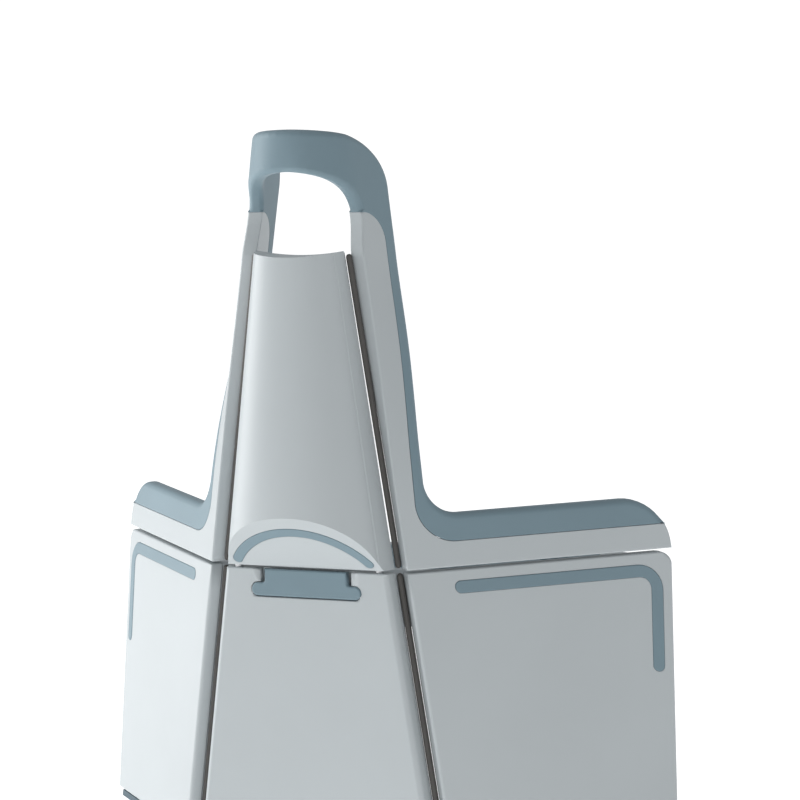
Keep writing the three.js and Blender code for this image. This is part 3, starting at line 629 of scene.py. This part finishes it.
for name, sign in SIDES.items():
    chart = mirrored(side_point, sign)
    panel = plate(f"{name}_panel_shell", side_outline(), TRAY, WALL, chart, 0.8, side_rim, steps=5)
    pocket_outline = band(strip_line(), STRIP_WIDTH / 2 + CLEAR)
    pocket_floor = WALL - POCKET_DEPTH
    pocket = cutter("pocket", pocket_outline, pocket_floor, WALL + 2, chart)
    cut(panel, pocket)
    finish(panel, "shell", f"{name}_side", [f"{name}_panel"])
    strip = plate(
        f"{name}_strip_band",
        band(strip_line(), STRIP_WIDTH / 2),
        pocket_floor + CLEAR,
        WALL + STRIP_PROUD,
        chart,
        0.2,
        0.9,
    )
    finish(strip, "soft", f"{name}_side", [f"{name}_corner_strip"])


# ---------------------------------------------------------------- wings and the soft band with its loop
SPLIT_GAP = 0.35
SHOULDER_LOW = 312  # where the hard neck's rounded top starts
SHOULDER_HIGH = 341  # where it meets the hand hole
HOLE_SWEEP = 300  # where the hole's side starts to leave the groove
SOFT_STEP = 8  # between the points of the soft band's outside


def rail_corner(start, end, steps=8):
    centre = RAIL_HEIGHT - RAIL_CORNER
    angles = [math.degrees(math.asin(min(1, max(0, (h - centre) / RAIL_CORNER)))) for h in (start, end)]
    return arc(free_edge(0) - RAIL_CORNER, centre, RAIL_CORNER, *angles, steps)


def neck_line(rail_top, margin, top, extra=0):
    fillet = NECK_FILLET + margin / 2
    base = neck_rear(rail_top + fillet) - margin
    hollow = arc(base + fillet, rail_top + fillet, fillet, 270, 180, 14)
    heights = rise(rail_top + fillet, top)[1:]
    narrowed = [margin + extra * smooth(h, SPREAD_START, SPREAD_END) for h in heights]
    return hollow + [(neck_rear(h) - less, h) for h, less in zip(heights, narrowed)]


def split_line(gap):
    """The line between the hard wing and the soft band, from the rail's rear end to the hand hole."""
    rail = SOFT_RAIL - gap
    line = neck_line(RAIL_HEIGHT - rail, SOFT_NECK - gap, SHOULDER_LOW, SOFT_SPREAD)
    s, _ = line[-1]
    reach = s - hole_side(SHOULDER_HIGH)
    high = SHOULDER_HIGH - gap - SHOULDER_LOW
    for i in range(1, 13):
        turn = i / 12 * math.pi / 2
        line.append((hole_side(SHOULDER_HIGH) + reach * math.cos(turn), SHOULDER_LOW + high * math.sin(turn)))
    return rail_corner(0, RAIL_HEIGHT - rail, 8)[-1:] + line


def hole_side(h):
    """The hand hole's side on the neck: it curves away from the column's groove."""
    u = min(1, max(0, (h - HOLE_SWEEP) / (SHOULDER_HIGH - HOLE_SWEEP)))
    return EDGE_GAP + (HOLE_MARGIN + 0.3 - EDGE_GAP) * math.sin(u * math.pi / 2) ** 1.5


def wing_outline():
    gap = SPLIT_GAP / 2
    rear = [(free_edge(0), column_low)] + rail_corner(0, SOFT_RAIL - gap)[:-1]
    split = split_line(-gap)
    front = [(hole_side(h), h) for h in rise(SHOULDER_HIGH + gap, column_low, 6)[1:]]
    return rear + split + front


def quarter(reach, base, high, power, steps=28):
    points = []
    for i in range(steps + 1):
        turn = i / steps * math.pi / 2
        across = reach * math.cos(turn) ** (2 / power)
        points.append((across, base + (high - base) * math.sin(turn) ** (2 / power)))
    return points


def soft_outline():
    gap = SPLIT_GAP / 2
    outer = rail_corner(SOFT_RAIL + gap, RAIL_HEIGHT, 8) + neck_line(RAIL_HEIGHT, 0, LOOP_SHOULDER)
    closing = max(1, round(math.dist(outer[-1], outer[0]) / SOFT_STEP))
    outer = [(loop_reach(s, h), h) for s, h in spaced(outer, SOFT_STEP)[:-closing]]
    shoulder = loop_reach(neck_rear(LOOP_SHOULDER), LOOP_SHOULDER)
    outer += quarter(shoulder, LOOP_SHOULDER, GUARD_HEIGHT, LOOP_POWER)[1:]
    hole = quarter(loop_reach(HOLE_MARGIN, NECK_TOP), NECK_TOP, HOLE_TOP, 2)
    hole = [p for p in hole if p[1] > SHOULDER_HIGH + gap][::-1]
    split = split_line(gap)
    split = [(loop_reach(s, h), h) for s, h in split]
    return outer, hole, split


def wing_rim(s, h):
    """A fine rim beside the soft band, and a fuller one elsewhere."""
    if h < column_low + 1:
        return 1.6
    beside_split = h >= SOFT_RAIL - 1 and s > hole_side(h) + 2
    return 0.6 if beside_split else 2.2


def soft_rim(radius):
    """A fine rim beside the hard wing, and a full round one on the outside and round the hole."""
    beside = {tuple(round(v, 4) for v in p) for p in split}
    return lambda c, h: 0.6 if (round(c, 4), round(h, 4)) in beside else radius


def rail_hollow(margin):
    low = column_low + margin
    high = RAIL_HEIGHT - SOFT_RAIL - CLEAR / 2 - margin
    rear = [(free_edge(0) - margin, low)] + rail_corner(low, high)
    return rear + [(EDGE_GAP + margin, high), (EDGE_GAP + margin, low)]


outer, hole, split = soft_outline()
for name, sign in SIDES.items():
    chart = mirrored(side_point, sign)
    wing = plate(f"{name}_wing_shell", spaced(wing_outline(), 10), 0, WALL, chart, 0.8, wing_rim, (14, 10))
    hollow = spaced(rail_hollow(SKIN), 12)
    recess = plate("recess", hollow, -2, TRAY, chart, CUTTER_RIM, CUTTER_RIM, (14, 10), 1)
    cut(wing, recess)
    finish(wing, "shell", f"{name}_wing", [f"{name}_wing"])

    past_middle = [(-6, GUARD_HEIGHT), (-12, GUARD_HEIGHT), (-12, HOLE_TOP), (-6, HOLE_TOP)]
    ring = outer + past_middle + hole + split[::-1]
    chart = mirrored(loop_point, sign)
    soft = plate(f"{name}_soft_band", ring, 0, WALL, chart, soft_rim(4.2), soft_rim(6.0), (6, 7), 6, 0.0)
    finish(soft, "soft", None, [f"{name}_soft_edge", f"{name}_grip"])
    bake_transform(soft)

# ---------------------------------------------------------------- hinge strips
BEAD_RADIUS = 3.0


def turned(name, profile, start, end, around=32):
    """A round piece along a line, from pairs of distance along it and radius."""
    axis = end - start
    turn = axis.to_track_quat("Z", "Y")
    bm = bmesh.new()
    rings = []
    for along, radius in profile:
        ring = []
        for i in range(around):
            a = 2 * math.pi * i / around
            offset = turn @ Vector((radius * math.cos(a), radius * math.sin(a), along))
            ring.append(bm.verts.new(start + offset))
        rings.append(ring)
    skinned(bm, rings)
    return from_bmesh(name, bm)


def bead_profile(length, radius):
    """A bead with round ends."""
    ends = [(radius * (1 - math.cos(a)), radius * math.sin(a)) for a in (0.3, 0.7, 1.1, math.pi / 2)]
    return ends + [(length - x, r) for x, r in ends[::-1]]


def bead(name, sign, low, high, body, node):
    start, end = (Vector((sign, 1, 1)) * point(axis_half(h), WALL, h) for h in (low, high))
    piece = turned(name, bead_profile((end - start).length, BEAD_RADIUS * MM), start, end)
    finish(weighted(piece), "hinge", body, [node])


for name, sign in SIDES.items():
    bead(f"{name}_lower_bead", sign, -SEAM_HEIGHT + FOOT_HEIGHT + 1, -2.3, "base", f"{name}_lower_hinge")
    bead(f"{name}_upper_bead", sign, 2.3, 302, "guard", f"{name}_upper_hinge")


# ---------------------------------------------------------------- screws
def screw(name, body, node, outward, length):
    """A pan-head screw with a cross recess, in place of a CAD screw; its head faces outward."""
    low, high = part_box(node)
    outward = Vector(outward).normalized()
    centre = (low + high) / 2
    half = abs((high - low).dot(Vector(map(abs, outward)))) / 2
    tip = centre + outward * half
    head = [(0.0, 3.4), (0.35, 3.95), (1.0, 4.0), (1.5, 3.7), (1.85, 2.9), (2.0, 1.6), (2.02, 0.05)]
    profile = [(-length, 1.2), (-length + 1, 2.0), (-0.01, 2.0)] + head
    start = tip - outward * 2 * MM
    piece = turned(name, [(a * MM, r * MM) for a, r in profile], start, start + outward * MM)
    turn = outward.to_track_quat("Z", "Y")
    for angle in (0, math.pi / 2):
        bm = bmesh.new()
        bmesh.ops.create_cube(bm, size=1)
        for vertex in bm.verts:
            narrow = 0.6 if vertex.co.z < 0 else 1.0
            size = Vector((4.4 * narrow, 0.9 * narrow, 2.4))
            corner = Vector(a * b for a, b in zip(vertex.co, size))
            corner.rotate(Matrix.Rotation(angle, 3, "Z"))
            vertex.co = tip + turn @ ((corner + Vector((0, 0, 0.2))) * MM)
        cut(piece, from_bmesh("recess", bm, False))
    bevelled(piece, 0.15, 2, 50)
    finish(weighted(piece), "steel", body, [node])


for i in range(1, 5):
    screw(f"column_screw_{i}_head", "guard", f"column_screw_{i}", (0, 1, 0), 12)
for name in SIDES:
    screw(f"beam_screw_{name}_head", "base", f"beam_screw_{name}", (0, 1, 0), 10)

# ---------------------------------------------------------------- deck: studded mat, apron
MAT_MARGIN = 12
DECK_FRONT = 50
DECK_REAR = 204
DECK_CORNER = 14
DECK_SIDE_GAP = 3
STUD_PITCH = 15
STUD_LENGTH = 4.6  # half of it
STUD_WIDTH = 2.3  # half of it
mat_low, mat_high = (corner.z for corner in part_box("deck_mat"))


def deck_half(y, margin):
    inner = axis_half(RAIL_HEIGHT) + (y - WALL) / math.tan(FOLD_ANGLE)
    return inner - (DECK_SIDE_GAP + margin) / math.sin(FOLD_ANGLE)


def deck_outline(margin):
    front, rear = DECK_FRONT + margin, DECK_REAR - margin
    edge = rear - DECK_CORNER
    right = [(deck_half(front, margin), front), (deck_half(edge, margin), edge)]
    right += [(deck_half(edge, margin) - DECK_CORNER / 4, rear - DECK_CORNER / 4)]
    right += [(deck_half(edge, margin) - DECK_CORNER, rear)]
    return right + [(-x, y) for x, y in right[::-1]]


def stud_mesh(bm, x, y, low):
    """A low lozenge stud with a rounded top."""
    rings = []
    for scale, lift in ((1.0, -0.05), (0.92, 0.55), (0.74, 0.85), (0.4, 0.95)):
        ring = []
        for i in range(12):
            a = math.pi / 6 * i
            along, across = STUD_LENGTH * scale * math.cos(a), STUD_WIDTH * scale * math.sin(a)
            ring.append(bm.verts.new(flat_point(x + along, y + across, low + lift)))
        rings.append(ring)
    skinned(bm, rings)


def studded_mat():
    low = (mat_low - SEAM_Z) / MM
    high = (mat_high - SEAM_Z) / MM - 1.0
    mat = plate("deck_mat_studs", filleted(deck_outline(MAT_MARGIN), 8), low, high, flat_point, 0.2, 0.6)
    applied(mat)
    bm = bmesh.new()
    bm.from_mesh(mat.data)
    rows = int((DECK_REAR - DECK_FRONT - 2 * MAT_MARGIN) / (STUD_PITCH * 0.6))
    for row in range(1, rows):
        y = DECK_FRONT + MAT_MARGIN + row * STUD_PITCH * 0.6
        half = deck_half(min(y, DECK_REAR - MAT_MARGIN - DECK_CORNER), MAT_MARGIN) - 8
        shift = STUD_PITCH / 2 * (row % 2)
        for k in range(-40, 41):
            x = k * STUD_PITCH + shift
            if abs(x) <= half and y < DECK_REAR - MAT_MARGIN - 5:
                stud_mesh(bm, x, y, high)
    bm.to_mesh(mat.data)
    bm.free()
    for polygon in mat.data.polygons:
        polygon.use_smooth = True
    return weighted(mat)


finish(studded_mat(), "soft", "deck", ["deck_mat"])
apron_low, apron_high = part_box("deck_apron")
apron_half = apron_high.x / MM
apron_base = (apron_low.z - SEAM_Z) / MM
apron_top = (apron_high.z - SEAM_Z) / MM
outline = [(-apron_half, apron_top), (-apron_half, apron_base)]
outline += [(apron_half, apron_base), (apron_half, apron_top)]
apron_outline = spaced(filleted(outline, 14), 30)


def apron_point(x, h, y):
    return point(x, (apron_high.y - FRONT_Y) / MM - 4 + y, h)


apron = plate("deck_apron_panel", apron_outline, 0, 4, apron_point, 0.8, 1.4, (30, 30))
channels = []
for k in (-1, 0, 1):
    middle = (apron_top + apron_base) / 2 + k * 14
    line = [(-apron_half * 0.86, middle), (0, middle), (apron_half * 0.86, middle)]
    channels.append(cutter("channel", band(line, 1.6), 3.1, 5, apron_point))
cut(apron, *channels)
finish(apron, "shell", "deck", ["deck_apron"])

# ---------------------------------------------------------------- CAD nodes that stay: edges and materials
CARRIED = {
    "liner": ["front_liner", "front_beam", "column_back"],
    "shell": ["deck_board"],
    "foot": ["front_foot"],
    "steel": ["latch_pin", "latch_spring"],
}
for name in SIDES:
    CARRIED["liner"] += [f"{name}_liner", f"{name}_ledge", f"{name}_wing_liner"]
    CARRIED["foot"] += [f"{name}_foot"]
    CARRIED["steel"] += [f"{name}_tenon", f"{name}_ledge_screw_1", f"{name}_ledge_screw_2"]
EDGE_WIDTHS = {"liner": 0.6, "shell": 0.8, "foot": 0.8, "steel": 0.3}
for slot_name, names in CARRIED.items():
    for node_name in names:
        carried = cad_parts[node_name]
        carried.data.materials.clear()
        carried.data.materials.append(MATERIALS[slot_name])
        bevelled(carried, EDGE_WIDTHS[slot_name], 2, 40)

# ---------------------------------------------------------------- stage, light and camera
FLOOR_GLOW = 0.74
DOME = 0.36
BACKDROP = 1.1

floor_mesh = bpy.data.meshes.new("floor")
bm = bmesh.new()
bmesh.ops.create_circle(bm, cap_ends=True, radius=9, segments=96)
bm.to_mesh(floor_mesh)
bm.free()
floor = add_object("floor", floor_mesh, False)
pale = bpy.data.materials.new("pale_floor")
pale.use_nodes = True
pale.node_tree.nodes["Principled BSDF"].inputs["Base Color"].default_value = (0.9, 0.9, 0.9, 1)
pale.node_tree.nodes["Principled BSDF"].inputs["Roughness"].default_value = 0.9
pale.node_tree.nodes["Principled BSDF"].inputs["Emission Color"].default_value = (1, 1, 1, 1)
pale.node_tree.nodes["Principled BSDF"].inputs["Emission Strength"].default_value = FLOOR_GLOW
floor_mesh.materials.append(pale)

world = bpy.data.worlds.new("studio")
bpy.context.scene.world = world
world.use_nodes = True
tree = world.node_tree
background = tree.nodes["Background"]
background.inputs["Color"].default_value = (0.96, 0.98, 1.0, 1)
background.inputs["Strength"].default_value = DOME
white = node_of(tree, "ShaderNodeBackground", Color=(1, 1, 1, 1), Strength=BACKDROP)
path = node_of(tree, "ShaderNodeLightPath")
mix = node_of(tree, "ShaderNodeMixShader")
tree.links.new(path.outputs["Is Camera Ray"], mix.inputs[0])
tree.links.new(background.outputs[0], mix.inputs[1])
tree.links.new(white.outputs[0], mix.inputs[2])
tree.links.new(mix.outputs[0], tree.nodes["World Output"].inputs[0])


def soft_light(name, position, target, size, power, colour=(1, 1, 1)):
    light = bpy.data.lights.new(name, "AREA")
    light.shape = "RECTANGLE"
    light.size, light.size_y = size
    light.energy = power
    light.color = colour
    lamp = bpy.data.objects.new(name, light)
    bpy.context.scene.collection.objects.link(lamp)
    lamp.location = position
    aim = Vector(target) - Vector(position)
    lamp.rotation_euler = aim.to_track_quat("-Z", "Y").to_euler()
    return lamp


soft_light("key", (-2.6, -0.5, 1.1), (0, 0, 0.4), (1.8, 2.2), 52)
soft_light("top", (0.2, -0.4, 3.2), (0, 0, 0.3), (2.5, 2.5), 10)

CAMERA_TURN = 0.435
CAMERA_PITCH = 0.117
CAMERA_ROLL = -0.030
LENS = 152.13
level = math.cos(CAMERA_PITCH)
back = Vector((level * math.sin(CAMERA_TURN), -level * math.cos(CAMERA_TURN), math.sin(CAMERA_PITCH)))
right = Vector((math.cos(CAMERA_TURN), math.sin(CAMERA_TURN), 0))
up = back.cross(right)
across = right * math.cos(CAMERA_ROLL) + up * math.sin(CAMERA_ROLL)
upward = up * math.cos(CAMERA_ROLL) - right * math.sin(CAMERA_ROLL)
eye = right * 95.73 + up * 159.31 + back * 3242.5
lens = bpy.data.cameras.new("camera")
lens.lens = LENS
lens.sensor_width = 36
lens.clip_end = 60
camera = bpy.data.objects.new("camera", lens)
bpy.context.scene.collection.objects.link(camera)
turn = Matrix((across, upward, back)).transposed()
camera.matrix_world = Matrix.Translation(point(*eye)) @ turn.to_4x4()
bpy.context.scene.camera = camera
bpy.context.scene.view_settings.view_transform = "Standard"
